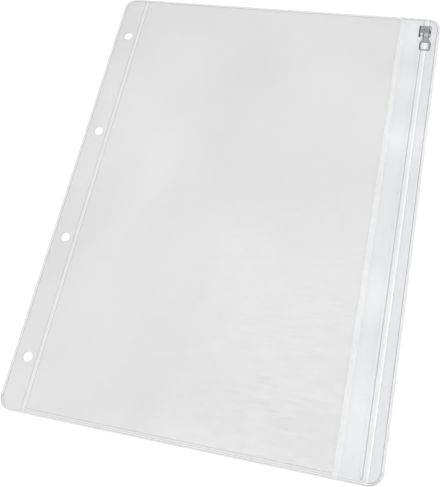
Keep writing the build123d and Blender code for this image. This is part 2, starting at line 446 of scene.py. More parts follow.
@dataclass(frozen=True)
class CalenderedFilm(Finish):
    """Clear plasticised PVC rolled between cylinders: faint haze, fine grain across the web."""

    shade: str = "#c1c1c1"
    light: str = "#e5e5e5"
    opacity: float = 0.125
    roughness: float = 0.38
    grain: float = 1.4
    grain_length: float = 16.0
    grain_spread: float = 0.18
    grain_depth: float = 0.02
    grain_relief: float = 0.25
    grained: Patch = Patch((60.0, -85.0), (190.0, 210.0), 0.62)
    haze: float = 90.0
    patches: tuple[Patch, ...] = ()

    def wire(self, tree: Tree, shader: Node) -> None:
        """Wire a cloudy tint with fine lines across the sheet.

        Args:
            tree: the material's node tree.
            shader: its shader node.
        """
        place = add_node(tree, "ShaderNodeTexCoord").outputs["Object"]
        cloud = add_node(tree, "ShaderNodeTexNoise", {
            "Vector": place, "Scale": 1 / (self.haze * MM), "Detail": 2.0, "Roughness": 0.4})
        lines = add_node(tree, "ShaderNodeMapping", {
            "Vector": place, "Scale": (1 / (self.grain_length * MM), 1 / (self.grain * MM), 1.0)})
        grain = add_node(tree, "ShaderNodeTexNoise", {
            "Vector": lines.outputs["Vector"], "Scale": 1.0, "Detail": 2.0, "Roughness": 0.6})
        drawn = add_node(tree, "ShaderNodeMapRange", {
            "Value": grain.outputs["Fac"],
            "From Min": 0.5 - self.grain_spread, "From Max": 0.5 + self.grain_spread})
        mixed = add_node(tree, "ShaderNodeMix", {
            "Factor": self.grained.share(tree, place),
            NUMBER_A: cloud.outputs["Fac"], NUMBER_B: drawn.outputs["Result"]}, data_type="FLOAT")
        # The patches paint sheen and shade on the film: lighter and darker where the light falls unevenly.
        share = add_patches(tree, place, mixed.outputs[0], self.patches)
        tint = add_node(tree, "ShaderNodeMix", {
            "Factor": share, COLOUR_A: linear(self.shade), COLOUR_B: linear(self.light)}, data_type="RGBA")
        bump = add_node(tree, "ShaderNodeBump", {
            "Height": grain.outputs["Fac"], "Strength": self.grain_relief,
            "Distance": self.grain_depth * MM})
        tree.links.new(tint.outputs[COLOUR_OUT], shader.inputs["Base Color"])
        tree.links.new(bump.outputs["Normal"], shader.inputs["Normal"])
        shader.inputs["Roughness"].default_value = self.roughness
        shader.inputs["IOR"].default_value = PVC_IOR
        shader.inputs["Alpha"].default_value = self.opacity


@dataclass(frozen=True)
class PressedWeld(Finish):
    """PVC fused by a hot bar: glassier than the film, with tiny ripples along the line."""

    shade: str = "#9a9d9c"
    light: str = "#b9bcbb"
    opacity: float = 0.2
    roughness: float = 0.22
    ripple: float = 1.6
    ripple_depth: float = 0.03
    ripple_relief: float = 0.3

    def wire(self, tree: Tree, shader: Node) -> None:
        """Wire a glassy tint with soft ripples.

        Args:
            tree: the material's node tree.
            shader: its shader node.
        """
        place = add_node(tree, "ShaderNodeTexCoord").outputs["Object"]
        ripple = add_node(tree, "ShaderNodeTexNoise", {
            "Vector": place, "Scale": 1 / (self.ripple * MM), "Detail": 2.0})
        tint = add_node(tree, "ShaderNodeMix", {
            "Factor": ripple.outputs["Fac"],
            COLOUR_A: linear(self.shade), COLOUR_B: linear(self.light)}, data_type="RGBA")
        bump = add_node(tree, "ShaderNodeBump", {
            "Height": ripple.outputs["Fac"], "Strength": self.ripple_relief,
            "Distance": self.ripple_depth * MM})
        tree.links.new(tint.outputs[COLOUR_OUT], shader.inputs["Base Color"])
        tree.links.new(bump.outputs["Normal"], shader.inputs["Normal"])
        shader.inputs["Roughness"].default_value = self.roughness
        shader.inputs["IOR"].default_value = PVC_IOR
        shader.inputs["Alpha"].default_value = self.opacity


@dataclass(frozen=True)
class ExtrudedZip(Finish):
    """Clear polymer drawn through a die: cool, glossy, with draw lines along its length."""

    shade: str = "#d4d6da"
    light: str = "#eef0f4"
    opacity: float = 0.16
    roughness: float = 0.14
    line: float = 0.7
    line_length: float = 120.0
    line_depth: float = 0.015
    line_relief: float = 0.2
    line_share: float = 1.0
    gloss: float = 0.9
    coat: float = 0.0
    coat_roughness: float = 0.05
    patches: tuple[Patch, ...] = ()

    def wire(self, tree: Tree, shader: Node) -> None:
        """Wire a cool tint with draw lines along the zip, and pale patches painted as reflections.

        Args:
            tree: the material's node tree.
            shader: its shader node.
        """
        place = add_node(tree, "ShaderNodeTexCoord").outputs["Object"]
        drawn = add_node(tree, "ShaderNodeMapping", {
            "Vector": place, "Scale": (1 / (self.line * MM), 1 / (self.line_length * MM), 1.0)})
        lines = add_node(tree, "ShaderNodeTexNoise", {
            "Vector": drawn.outputs["Vector"], "Scale": 1.0, "Detail": 2.0, "Roughness": 0.6})
        share = add_node(tree, "ShaderNodeMath", {
            0: lines.outputs["Fac"], 1: self.line_share}, operation="MULTIPLY").outputs[0]
        # The patches paint pale reflections of the lights.
        share = add_patches(tree, place, share, self.patches)
        tint = add_node(tree, "ShaderNodeMix", {
            "Factor": share, COLOUR_A: linear(self.shade), COLOUR_B: linear(self.light)}, data_type="RGBA")
        bump = add_node(tree, "ShaderNodeBump", {
            "Height": lines.outputs["Fac"], "Strength": self.line_relief,
            "Distance": self.line_depth * MM})
        tree.links.new(tint.outputs[COLOUR_OUT], shader.inputs["Base Color"])
        tree.links.new(bump.outputs["Normal"], shader.inputs["Normal"])
        shader.inputs["Roughness"].default_value = self.roughness
        shader.inputs["IOR"].default_value = ZIP_IOR
        shader.inputs["Specular IOR Level"].default_value = self.gloss
        shader.inputs["Coat Weight"].default_value = self.coat
        shader.inputs["Coat Roughness"].default_value = self.coat_roughness
        shader.inputs["Alpha"].default_value = self.opacity


@dataclass(frozen=True)
class PlatedZinc(Finish):
    """Die-cast zinc, tumbled, nickel plated: bright, with soft pits, painted highlight and painted shade."""

    border: Border | None = None
    shade: str = "#8a8b8e"
    light: str = "#d0d0cf"
    # Painted shade: the colour of steep faces, of the border and of the shade spots.
    side: str = "#505154"
    side_reach: Span = (0.75, 0.96)
    # Painted highlight: the colour of faces that lean forwards at the given slope.
    painted_slope_highlight: str = "#f4f4f3"
    slope: float = 0.257
    slope_reach: Span = (0.05, 0.15)
    roughness: float = 0.2
    gloss_spread: Span = (0.7, 1.5)
    pit: float = 0.45
    pit_depth: float = 0.03
    pit_relief: float = 0.15
    patches: tuple[Patch, ...] = ()
    painted_shade_spots: tuple[Patch, ...] = ()

    def wire(self, tree: Tree, shader: Node) -> None:
        """Wire a plated metal: tumbling marks, a painted highlight on one slope, painted shade on its sides.

        Args:
            tree: the material's node tree.
            shader: its shader node.
        """
        place = add_node(tree, "ShaderNodeTexCoord").outputs["Object"]
        pits = add_node(tree, "ShaderNodeTexNoise", {
            "Vector": place, "Scale": 1 / (self.pit * MM), "Detail": 4.0, "Roughness": 0.6})
        share = add_patches(tree, place, pits.outputs["Fac"], self.patches)
        tint = add_node(tree, "ShaderNodeMix", {
            "Factor": share, COLOUR_A: linear(self.shade), COLOUR_B: linear(self.light)}, data_type="RGBA")
        facing = add_node(tree, "ShaderNodeSeparateXYZ", {
            0: add_node(tree, "ShaderNodeTexCoord").outputs["Normal"]})
        uphill = add_node(tree, "ShaderNodeMath", {0: facing.outputs["Y"], 1: self.slope})
        off_slope = add_node(tree, "ShaderNodeMath", {0: uphill.outputs[0]}, operation="ABSOLUTE")
        near, far = self.slope_reach
        # Faces that lean forwards at the slope take the painted highlight.
        highlighted = add_node(tree, "ShaderNodeMapRange", {
            "Value": off_slope.outputs[0], "From Min": near, "From Max": far, "To Min": 1.0, "To Max": 0.0})
        tint = add_node(tree, "ShaderNodeMix", {
            "Factor": highlighted.outputs["Result"],
            COLOUR_A: tint.outputs[COLOUR_OUT], COLOUR_B: linear(self.painted_slope_highlight)}, data_type="RGBA")
        # Steep faces, the border and the shade spots are painted dark, as painted shade.
        steep, level = self.side_reach
        sides = add_node(tree, "ShaderNodeMapRange", {
            "Value": facing.outputs["Z"], "From Min": steep, "From Max": level, "To Min": 1.0, "To Max": 0.0})
        dark = sides.outputs["Result"]
        if self.border is not None:
            dark = add_node(tree, "ShaderNodeMath", {
                0: dark, 1: self.border.share(tree, place)}, operation="MAXIMUM").outputs[0]
        tint = add_node(tree, "ShaderNodeMix", {
            "Factor": add_patches(tree, place, dark, self.painted_shade_spots),
            COLOUR_A: tint.outputs[COLOUR_OUT], COLOUR_B: linear(self.side)}, data_type="RGBA")
        smooth, rough = self.gloss_spread
        gloss = add_node(tree, "ShaderNodeMapRange", {
            "Value": pits.outputs["Fac"],
            "To Min": self.roughness * smooth, "To Max": self.roughness * rough})
        bump = add_node(tree, "ShaderNodeBump", {
            "Height": pits.outputs["Fac"], "Strength": self.pit_relief, "Distance": self.pit_depth * MM})
        tree.links.new(tint.outputs[COLOUR_OUT], shader.inputs["Base Color"])
        tree.links.new(gloss.outputs["Result"], shader.inputs["Roughness"])
        tree.links.new(bump.outputs["Normal"], shader.inputs["Normal"])
        shader.inputs["Metallic"].default_value = 1.0


@dataclass(frozen=True)
class StudioPaper(Finish):
    """White background paper: matt, with a trace of fibre."""

    shade: str = "#f1f1f1"
    light: str = "#f7f7f7"
    roughness: float = 0.9
    fibre: float = 3.0

    def wire(self, tree: Tree, shader: Node) -> None:
        """Wire a matt white with a faint fibre.

        Args:
            tree: the material's node tree.
            shader: its shader node.
        """
        place = add_node(tree, "ShaderNodeTexCoord").outputs["Object"]
        fibre = add_node(tree, "ShaderNodeTexNoise", {"Vector": place, "Scale": 1 / (self.fibre * MM)})
        tint = add_node(tree, "ShaderNodeMix", {
            "Factor": fibre.outputs["Fac"],
            COLOUR_A: linear(self.shade), COLOUR_B: linear(self.light)}, data_type="RGBA")
        tree.links.new(tint.outputs[COLOUR_OUT], shader.inputs["Base Color"])
        shader.inputs["Roughness"].default_value = self.roughness


# Rolled film: a faint grey haze in soft clouds, with fine lines across the sheet. The real grain is
# finer than the photo's pixels, so it is drawn as coarse as it needs to show. Its soft lighter and
# darker patches are painted sheen and painted shade, where the light falls unevenly on the film.
FILM = CalenderedFilm("PVC film, calendered", patches=(
    Patch((-63.0, -10.0), (22.0, 125.0), 0.2, -15.4),
    Patch((-80.0, 120.0), (55.0, 75.0), 0.13),
    Patch((3.0, 112.0), (36.0, 75.0), -0.17),
    Patch((45.0, -65.0), (75.0, 75.0), 0.1),
    Patch((20.0, -150.0), (110.0, 20.0), 0.16)))
# Fused film has lost its haze: it is clearest at the rim, and a pale stripe in the seam. The seam's
# finish also lightens a strip along the foot, as painted light against the shade of its pressed slope.
FUSED = PressedWeld("PVC film, fused clear", shade="#d3d6d4", light="#e4e6e5", opacity=0.06)
SEAM = PressedWeld("PVC film, fused in the seam", shade="#d3d6d4", light="#e4e6e5", opacity=0.112)
# Pressed lines bend the light away: that shade is painted in as thin dark lines, darkest along
# the top and the zip side.
LINE = PressedWeld("PVC weld line, pressed", shade="#7c807e", light="#999d9b", opacity=0.23)
DARKEST_LINE = PressedWeld("PVC weld line, pressed deep", shade="#6a6e6d", light="#838786", opacity=0.24)
FAINT_LINE = PressedWeld("PVC weld line, pressed lightly", shade="#7c807e", light="#999d9b", opacity=0.12)
# A cut edge is seen through the film's whole width, so it is a grey hairline.
EDGE = PressedWeld("PVC film, die-cut edge", shade="#8d9290", light="#a4a8a6", opacity=0.6)
# Extruded tape: cool and smooth, with pale bars painted along it, as painted reflections of the lights.
# Its die lines are finer in truth, and are drawn as coarse as they need to show.
TAPE = ExtrudedZip("Zip tape, extruded clear", shade="#cccdd1", light="#ecedf2", opacity=0.2,
                   roughness=0.22, line_share=0.25, gloss=0.5, patches=(
                       Patch((99.0, 138.0), (60.0, 22.0), 0.45),
                       Patch((99.0, 101.0), (60.0, 14.0), 0.35),
                       Patch((99.0, 57.0), (60.0, 20.0), 0.55),
                       Patch((99.0, -47.0), (60.0, 26.0), 0.45),
                       Patch((99.0, -119.0), (60.0, 44.0), 0.4)))
# Extruded flange: greyer than the tape, with plain die lines beside the rim, and one pale bar painted as a
# reflection.
FLANGE = ExtrudedZip("Zip flange, extruded clear", shade="#c6c7cb", light="#dcdce2", opacity=0.2,
                     roughness=0.25, line_share=0.8, gloss=0.4,
                     patches=(Patch((111.0, 57.0), (60.0, 22.0), 0.6),))
# Extruded rail: its smooth roof mirrors the lights. Its rounded shoulder is painted white, a painted
# highlight, and its steep side and groove are painted dark, as painted shade where they send the light away.
ROOF = ExtrudedZip("Zip rail, extruded clear", shade="#dfe1e4", light="#eff1f4", opacity=0.2,
                   roughness=0.1, coat=1.0)
SHOULDER = ExtrudedZip("Zip rail, rounded shoulder", shade="#f2f3f5", light="#ffffff", opacity=0.33)
FOOT = ExtrudedZip("Zip rail, steep side", shade="#7c7f82", light="#94979a", opacity=0.25)
GROOVE = ExtrudedZip("Zip groove, extruded clear", shade="#7e8183", light="#96999b", opacity=0.39)
# Faces inside the rail touch other clear faces, so they hardly show.
CORE = ExtrudedZip("Zip rail, inside faces", shade="#e6e8ea", light="#f6f7f9", opacity=0.03, gloss=0.3)
# Crushed film is full of tiny flaws, so the band and its ribs are matt and whitish.
CRUSHED = PressedWeld("PVC film, crushed by the ribbed bar", shade="#dfe0de", light="#ffffff",
                      opacity=0.26, roughness=0.45)
RIB = PressedWeld("PVC film, raised by the ribbed bar", shade="#f2f3f1", light="#ffffff",
                  opacity=0.24, roughness=0.45)
# Cast and plated: a bright plate with soft tumbling marks, a painted highlight on its sloping front,
# painted shade along its sides and in one spot at its front, and painted light on the front of its
# right leg. The marks are finer in truth, and are drawn as coarse as they need to show.
ZINC = PlatedZinc("Zinc, die-cast and nickel plated",
                  Border(middle=105.75, half=4.45, wide_half=4.45, start=150.0, stop=130.0, width=1.4,
                         strength=0.75),
                  patches=(Patch((109.0, 137.2), (1.5, 0.9), 0.6),),
                  painted_shade_spots=(Patch((108.8, 139.7), (1.1, 2.0), 1.3), Patch((109.0, 137.2), (1.5, 0.9), -1.1)))
# The bail: an even, dull grey, with milder painted shade on its sides and its front face painted light grey.
ARCH = PlatedZinc("Zinc, die-cast and nickel plated, rubbed", side="#a4a5a7", painted_slope_highlight="#b4b4b4", slope=0.95)
# Stamped and plated: smoother and lighter than the casting, with a painted highlight band across its neck,
# painted shade along its edges and a spot of painted shade beside the neck's left edge.
STEEL = PlatedZinc("Steel, stamped and nickel plated",
                   Border(middle=106.35, half=2.05, wide_half=3.75, start=133.7, stop=130.8, width=0.85,
                          strength=0.72),
                   shade="#999a9d", light="#dddddc", painted_slope_highlight="#c0c0c0", roughness=0.16, pit=0.7,
                   patches=(Patch((106.35, 136.9), (2.6, 1.4), 0.9),),
                   painted_shade_spots=(Patch((104.4, 136.8), (0.7, 1.6), 0.7),))
# Matt paper: an even white.
PAPER = StudioPaper("Paper, white matt")
FILM_ZONES = {Zone.FILM: FILM, Zone.RIM: FUSED, Zone.SEAM: SEAM, Zone.EDGE: EDGE}
RIM_LINES = {Press.PLAIN: LINE, Press.DEEP: DARKEST_LINE, Press.FLAT: FUSED}
FOOT_LINES = {Press.PLAIN: LINE, Press.LIGHT: FAINT_LINE}
STRIP = {Part.TAPE: TAPE, Part.FLANGE: FLANGE, Part.ROOF: ROOF, Part.FOOT: FOOT, Part.GROOVE: GROOVE,
         Part.CORE: CORE, Part.BAND: CRUSHED, Part.EDGE: EDGE, Part.SHOULDER: SHOULDER}
PLATED = {"slider_body": ZINC, "slider_bail": ARCH, "pull_tab": STEEL}


def complete(piece: Piece, slot: Slot, finishes: dict[Enum, Finish], *nodes: str,
             choose: FaceRule | None = None, smooth_angle: float = 35.0) -> Piece:
    """Clean a modelled piece, give it its finishes face by face and put it on the pocket.

    Args:
        piece: the piece, whose shape is done.
        slot: the record's material slot.
        finishes: its finishes, in the order of its material slots.
        nodes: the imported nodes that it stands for.
        choose: the key of a face's finish, from the face's middle in millimetres and its normal.
        smooth_angle: edges sharper than this, in degrees, stay crisp.

    Returns:
        The piece.
    """
    with shaping(piece):
        bpy.ops.mesh.select_all(action="SELECT")
        bpy.ops.mesh.remove_doubles(threshold=MERGE * MM)
        bpy.ops.mesh.normals_make_consistent(inside=False)
    alone(piece)
    bpy.ops.object.shade_smooth_by_angle(angle=math.radians(smooth_angle))
    piece.data.materials.clear()
    for finish in finishes.values():
        piece.data.materials.append(finish.material())
    numbers = {key: number for number, key in enumerate(finishes)}
    for face in piece.data.polygons:
        face.material_index = numbers[choose(face.center / MM, face.normal)] if choose else 0
    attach(piece, POCKET)
    if nodes:
        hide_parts(*nodes)
    # Clear extrusions and weld lines scatter light forwards, and hardly darken what lies under them.
    piece.visible_shadow = slot is Slot.FILM
    LOG.info("%s: %d faces", piece.name, len(piece.data.polygons))
    return piece


def plate(node: Piece, finish: Finish) -> None:
    """Give a packed metal piece its finish, in the material slot that it has.

    Args:
        node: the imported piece, whose shape stays.
        finish: its finish.
    """
    node.material_slots[0].material = finish.material()
    # The studio's light comes from all round, so these small pieces throw no shadow or reflection.
    node.visible_shadow = node.visible_diffuse = node.visible_glossy = False
    LOG.info("%s: %d faces, plated", node.name, len(node.data.polygons))


def low_of(node: str) -> Vector:
    """Give a node's lowest corner, in millimetres."""
    return Vector(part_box(node)[0]) / MM


def high_of(node: str) -> Vector:
    """Give a node's highest corner, in millimetres."""
    return Vector(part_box(node)[1]) / MM


@dataclass(frozen=True)
class Sheet:
    """The outline that all layers share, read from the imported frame."""

    half_width: float
    half_length: float
    corner: float
    rim: float
    seam: float
    seam_half: float
    slit: float
    hole_radius: float
    holes: tuple[Span, ...]
    shoulder: float = 0.8
    rim_dip_start: float = 2.2
    rim_dip_end: float = 1.25
    rings: tuple[float, ...] = (0.35, 0.35, 0.35, 0.2, 0.2, 0.2, 0.2, 0.2, 0.3, 0.8)
    punch_sides: int = 48
    punch_depth: float = 6.0

    @classmethod
    def from_frame(cls) -> "Sheet":
        """Read the sheet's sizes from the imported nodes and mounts.

        Returns:
            The sheet.
        """
        low, high = low_of("back_film"), high_of("back_film")
        spine_low, spine_high = low_of("rim_weld_spine"), high_of("rim_weld_spine")
        seam_low, seam_high = low_of("margin_weld"), high_of("margin_weld")
        bores = [m for m in frame["record"]["mounts"] if m["kind"] == "bore"]
        return cls(
            half_width=(high.x - low.x) / 2,
            half_length=(high.y - low.y) / 2,
            corner=((high.y - low.y) - (spine_high.y - spine_low.y)) / 2,
            rim=spine_high.x - spine_low.x,
            seam=(seam_low.x + seam_high.x) / 2,
            seam_half=(seam_high.x - seam_low.x) / 2,
            slit=high_of("front_film").x,
            hole_radius=bores[0]["dims"]["r_mm"],
            holes=tuple((m["pos_m"][0] / MM, m["pos_m"][1] / MM) for m in bores),
        )

    def inset(self, x: float, y: float) -> float:
        """Measure how far inside the outline a place is.

        Args:
            x: place across the sheet.
            y: place along the sheet.

        Returns:
            The distance to the outline, positive inside.
        """
        across = abs(x) - (self.half_width - self.corner)
        along = abs(y) - (self.half_length - self.corner)
        outside = math.hypot(max(across, 0.0), max(along, 0.0))
        return self.corner - outside - min(max(across, along), 0.0)

    def rim_dip(self, x: float, y: float) -> float:
        """Give the share by which the welding bar has pressed a place at the rim down."""
        return ease((self.rim_dip_start - self.inset(x, y)) / (self.rim_dip_start - self.rim_dip_end))

    def seam_dip(self, x: float) -> float:
        """Give the share by which the bar has pressed a place at the margin seam down."""
        return ease((self.seam_half + self.shoulder - abs(x - self.seam)) / self.shoulder)

    def rounded(self, name: str, bottom: float, top: float) -> Piece:
        """Model a plain plate with the sheet's outline.

        Args:
            name: the piece's name.
            bottom: the level of its underside.
            top: the level of its upper side.

        Returns:
            The plate.
        """
        piece = block(name, (-self.half_width, -self.half_length, bottom),
                      (self.half_width, self.half_length, top))
        with shaping(piece):
            pick(piece, Element.EDGE, lambda middle, edge: abs(
                edge.verts[0].co.z - edge.verts[1].co.z) > HAIR * MM)
            bpy.ops.mesh.bevel(offset=self.corner * MM, segments=CORNER_STEPS, affect="EDGES")
        return piece

    def blank(self, name: str, bottom: float, top: float) -> Piece:
        """Cut a blank to the sheet's outline, with rings along its rim.

        Args:
            name: the piece's name.
            bottom: the level of its underside.
            top: the level of its upper side.

        Returns:
            The blank, whose flat sides have rings of edges where the rim is pressed.
        """
        piece = self.rounded(name, bottom, top)
        with shaping(piece):
            pick(piece, Element.FACE, lambda middle, face: abs(face.normal.z) > SQUARE)
            for step in self.rings:
                bpy.ops.mesh.inset(thickness=step * MM, depth=0)
        return piece

    def punch(self, piece: Piece) -> None:
        """Punch the binding holes through a film.

        Args:
            piece: the film to punch.
        """
        pins = []
        for x, y in self.holes:
            bpy.ops.object.select_all(action="DESELECT")
            bpy.ops.mesh.primitive_cylinder_add(
                vertices=self.punch_sides, radius=self.hole_radius * MM, depth=self.punch_depth * MM,
                location=(x * MM, y * MM, 0))
            pins.append(bpy.context.active_object)
        punch = join("punch", pins)
        finish_with(piece, "BOOLEAN", object=punch, operation="DIFFERENCE", solver="EXACT")
        bpy.data.objects.remove(punch)

    def grid(self, piece: Piece, columns: list[float], pitch: float) -> None:
        """Divide a layer so that it can bend.

        Args:
            piece: the layer.
            columns: places across the sheet that get an edge.
            pitch: the spacing of the edges along the sheet.
        """
        with shaping(piece):
            for x in columns:
                cut(piece, (x, 0, 0), (1, 0, 0))
            for y in rows(-self.half_length, self.half_length, pitch):
                cut(piece, (0, y, 0), (0, 1, 0))


@dataclass
class Films:
    """The two films: a flat back, and a front that is pressed to it along the welds."""

    sheet: Sheet
    pitch: float = 7.0
    back_pitch: float = 30.0
    first_column: float = 4.0
    clear_rim: float = 0.9
    lightened_foot: float = 2.35
    fuse_gap: float = 0.02
    ripple: float = 0.05
    ripple_length: float = 60.0
    seam_free: float = 3.0
    seam_rise: float = 20.0
    slit_free: float = 4.0
    slit_rise: float = 15.0
    rim_free: float = 3.0
    rim_rise: float = 15.0
    fold_height: float = 0.1
    fold_width: float = 9.0
    fold_lead: float = 0.3
    fold_tail: float = 0.5
    fold_top: Span = (-43.0, 73.0)
    fold_foot: Span = (-73.0, -77.0)

    def seam_columns(self) -> list[float]:
        """List the places across the margin seam where the film bends.

        Returns:
            The places.
        """
        half, wide = self.sheet.seam_half, self.sheet.seam_half + self.sheet.shoulder
        offsets = (-wide, -(half + wide) / 2, -half, half, (half + wide) / 2, wide)
        return [self.sheet.seam + offset for offset in offsets]

    def zone_at(self, middle: Vector, normal: Vector) -> Zone:
        """Choose film, fused rim, seam or cut edge for a face.

        Args:
            middle: the face's middle, in millimetres.
            normal: the face's direction.

        Returns:
            The face's zone.
        """
        if abs(normal.z) < UPWARD:
            return Zone.EDGE
        if self.sheet.inset(middle.x, middle.y) < self.clear_rim:
            return Zone.RIM
        in_seam = abs(middle.x - self.sheet.seam) < self.sheet.seam_half
        # Along the foot the film takes the seam's pale finish: painted light against the shade on its slope.
        in_foot = middle.y < -self.sheet.half_length + self.lightened_foot
        return Zone.SEAM if in_seam or in_foot else Zone.FILM

    def swell(self, x: float, y: float) -> float:
        """Give the front film's lift between its welds.

        Args:
            x: place across the sheet.
            y: place along the sheet.

        Returns:
            The lift, which fades out towards every weld.
        """
        free = ease((x - self.sheet.seam - self.seam_free) / self.seam_rise)
        free *= ease((self.sheet.slit - self.slit_free - x) / self.slit_rise)
        free *= ease((self.sheet.inset(x, y) - self.rim_free) / self.rim_rise)
        ripple = noise.noise(Vector((x / self.ripple_length, y / self.ripple_length, 0.0)))
        (top_x, top_y), (foot_x, foot_y) = self.fold_top, self.fold_foot
        run = Vector((foot_x - top_x, foot_y - top_y))
        along = ((x - top_x) * run.x + (y - top_y) * run.y) / run.length_squared
        across = ((x - top_x) * run.y - (y - top_y) * run.x) / run.length
        # The fold is half risen at its top end, and runs out past its foot.
        fold = math.exp(-(across / self.fold_width) ** 2) * ease(along / self.fold_lead + 0.5)
        fold *= ease((1 + self.fold_tail - along) / self.fold_tail)
        return free * (self.ripple * ripple + self.fold_height * fold)

    def build_back(self) -> Piece:
        """Build the flat back film with its holes.

        Returns:
            The back film.
        """
        piece = self.sheet.blank("clear_back_film", low_of("back_film").z, high_of("back_film").z)
        self.sheet.punch(piece)
        sides = rows(-self.sheet.half_width, self.sheet.half_width, self.back_pitch)
        self.sheet.grid(piece, sides + self.seam_columns(), self.back_pitch)
        return complete(piece, Slot.FILM, FILM_ZONES, "back_film", choose=self.zone_at)

    def build_front(self) -> Piece:
        """Build the front film, dipped to the back along its welds.

        Returns:
            The front film.
        """
        bottom, top = low_of("front_film").z, high_of("front_film").z
        piece = self.sheet.blank("clear_front_film", bottom, top)
        self.sheet.punch(piece)
        with shaping(piece):
            cut(piece, (self.sheet.slit, 0, 0), (1, 0, 0), Keep.BEFORE)
        columns = rows(self.sheet.seam + self.first_column, self.sheet.slit, self.pitch)
        self.sheet.grid(piece, columns + self.seam_columns(), self.pitch)
        drop = bottom - high_of("back_film").z - self.fuse_gap
        lift(piece, lambda x, y, z: self.swell(x, y) - drop * max(
            self.sheet.rim_dip(x, y), self.sheet.seam_dip(x)))
        return complete(piece, Slot.FILM, FILM_ZONES, "front_film", choose=self.zone_at)


@dataclass
class Welds:
    """The thin beads that the welding bars push up: one round the rim, two along the margin seam."""

    sheet: Sheet
    tape_inner: float
    tape_step: float
    bead_inset: float = 1.5
    bead_shift: Span = (-0.2, 0.2)
    trim_inset: float = 0.75
    trim_shift: Span = (-0.2, 0.0)
    trim_climb: float = 0.5
    foot_setback: float = 3.1
    bead_width: float = 0.4
    bead_rise: float = 0.05
    bead_skirt: float = 0.3
    bead_thickness: float = 0.12
    step_run: float = 0.06
    seam_bead_share: float = 0.85
    ring_blank: float = 1.0
    smooth_angle: float = 80.0

    def ring(self, name: str, inset: float, shift: Span, surface: Surface) -> Piece:
        """Model a flat bead that runs round the sheet at an inset, following its upper side.

        Args:
            name: the piece's name.
            inset: how far inside the outline the bead runs.
            shift: how far the bar sat off the sheet's middle, across and along.
            surface: the level of the pocket's upper side at a place.

        Returns:
            The bead, before it gets its thickness.
        """
        sheet = self.sheet
        piece = sheet.rounded(name, -self.ring_blank, 0.0)
        half = self.bead_width / 2
        steps = (self.tape_inner - self.step_run, self.tape_inner, sheet.slit, sheet.slit + self.tape_step)
        with shaping(piece):
            pick(piece, Element.FACE, lambda middle, face: face.normal.z > SQUARE)
            for step in (inset - half, half, half):
                bpy.ops.mesh.inset(thickness=step * MM, depth=0)
            pick(piece, Element.FACE, lambda middle, face: face.normal.z < SQUARE or abs(
                sheet.inset(middle.x, middle.y) - inset) > half)
            bpy.ops.mesh.delete(type="FACE")
            for x in steps:
                cut(piece, (x, 0, 0), (1, 0, 0))
        lift(piece, lambda x, y, z: self.bead_rise * (
            1 if abs(sheet.inset(x, y) - inset) < half / 2 else self.bead_skirt))
        for vertex in piece.data.vertices:
            vertex.co += Vector((*shift, 0.0)) * MM
        lift(piece, lambda x, y, z: surface(x, y))
        return piece

    def bar(self, name: str, low: Span, high: Span, top: float) -> Piece:
        """Model a straight bead with rounded upper edges.

        Args:
            name: the piece's name.
            low: its lowest corner across and along the sheet.
            high: its highest corner across and along the sheet.
            top: the level of its upper side.

        Returns:
            The bead.
        """
        piece = block(name, (*low, top - self.bead_thickness), (*high, top))
        with shaping(piece):
            pick(piece, Element.EDGE, lambda middle, edge: middle.z > top - HAIR)
            bpy.ops.mesh.bevel(offset=self.bead_rise * MM, segments=BEAD_STEPS, affect="EDGES")
        return piece

    def press_at(self, middle: Vector, normal: Vector) -> Press:
        """Choose the plain, the darkest or the flat line for a face of the rim bead.

        Args:
            middle: the face's middle, in millimetres.
            normal: the face's direction.

        Returns:
            How the face is pressed.
        """
        sheet = self.sheet
        # The top and the zip side take the darkest painted shade.
        if middle.x > sheet.half_width - sheet.corner or middle.y > sheet.half_length - sheet.rim:
            return Press.DEEP
        return Press.FLAT if middle.y < -sheet.half_length + sheet.rim else Press.PLAIN

    def build_rim(self, surface: Surface) -> Piece:
        """Build the bead round the rim.

        Args:
            surface: the level of the pocket's upper side at a place.

        Returns:
            The rim bead.
        """
        piece = self.ring("rim_weld_bead", self.bead_inset, self.bead_shift, surface)
        finish_with(piece, "SOLIDIFY", thickness=self.bead_thickness * MM, offset=-1.0)
        return complete(piece, Slot.WELD, RIM_LINES, "rim_weld_spine", "rim_weld_zip", "rim_weld_top",
                        "rim_weld_bottom", "rim_weld_corners", choose=self.press_at,
                        smooth_angle=self.smooth_angle)

    def build_foot(self, surface: Surface) -> Piece:
        """Build the trimmed bead along the bottom edge, and the straight line above it.

        Args:
            surface: the level of the pocket's upper side at a place.

        Returns:
            Both, as one piece.
        """
        sheet = self.sheet
        trim = self.ring("foot_weld_beads", self.trim_inset, self.trim_shift, surface)
        with shaping(trim):
            cut(trim, (0, -sheet.half_length + sheet.corner + self.trim_climb, 0), (0, 1, 0), Keep.BEFORE)
        finish_with(trim, "SOLIDIFY", thickness=self.bead_thickness * MM, offset=-1.0)
        y = -sheet.half_length + self.foot_setback
        start = sheet.seam + sheet.seam_half + sheet.shoulder
        top = surface(0, 0) + self.bead_rise / 2
        half = self.bead_width / 2
        line = self.bar("foot_line", (start, y - half), (self.tape_inner, y + half), top)
        return complete(
            join("foot_weld_beads", [trim, line]), Slot.WELD, FOOT_LINES, smooth_angle=self.smooth_angle,
            choose=lambda middle, normal: Press.LIGHT if middle.y > y - self.bead_width and (
                abs(middle.x) < sheet.half_width - sheet.corner) else Press.PLAIN)

    def build_seam(self, surface: Surface) -> Piece:
        """Build the two beads beside the margin seam.

        Args:
            surface: the level of the pocket's upper side at a place.

        Returns:
            The seam beads, as one piece.
        """
        sheet = self.sheet
        offset = sheet.seam_half + self.seam_bead_share * sheet.shoulder
        end = sheet.half_length - self.bead_inset
        beads = []
        for side in (-1, 1):
            x = sheet.seam + side * offset
            top = surface(x, 0) + self.bead_rise
            half = self.bead_width / 2
            beads.append(self.bar("bead", (x - half, -end), (x + half, end), top))
        return complete(join("margin_weld_beads", beads), Slot.WELD, {Press.LIGHT: FAINT_LINE}, "margin_weld")


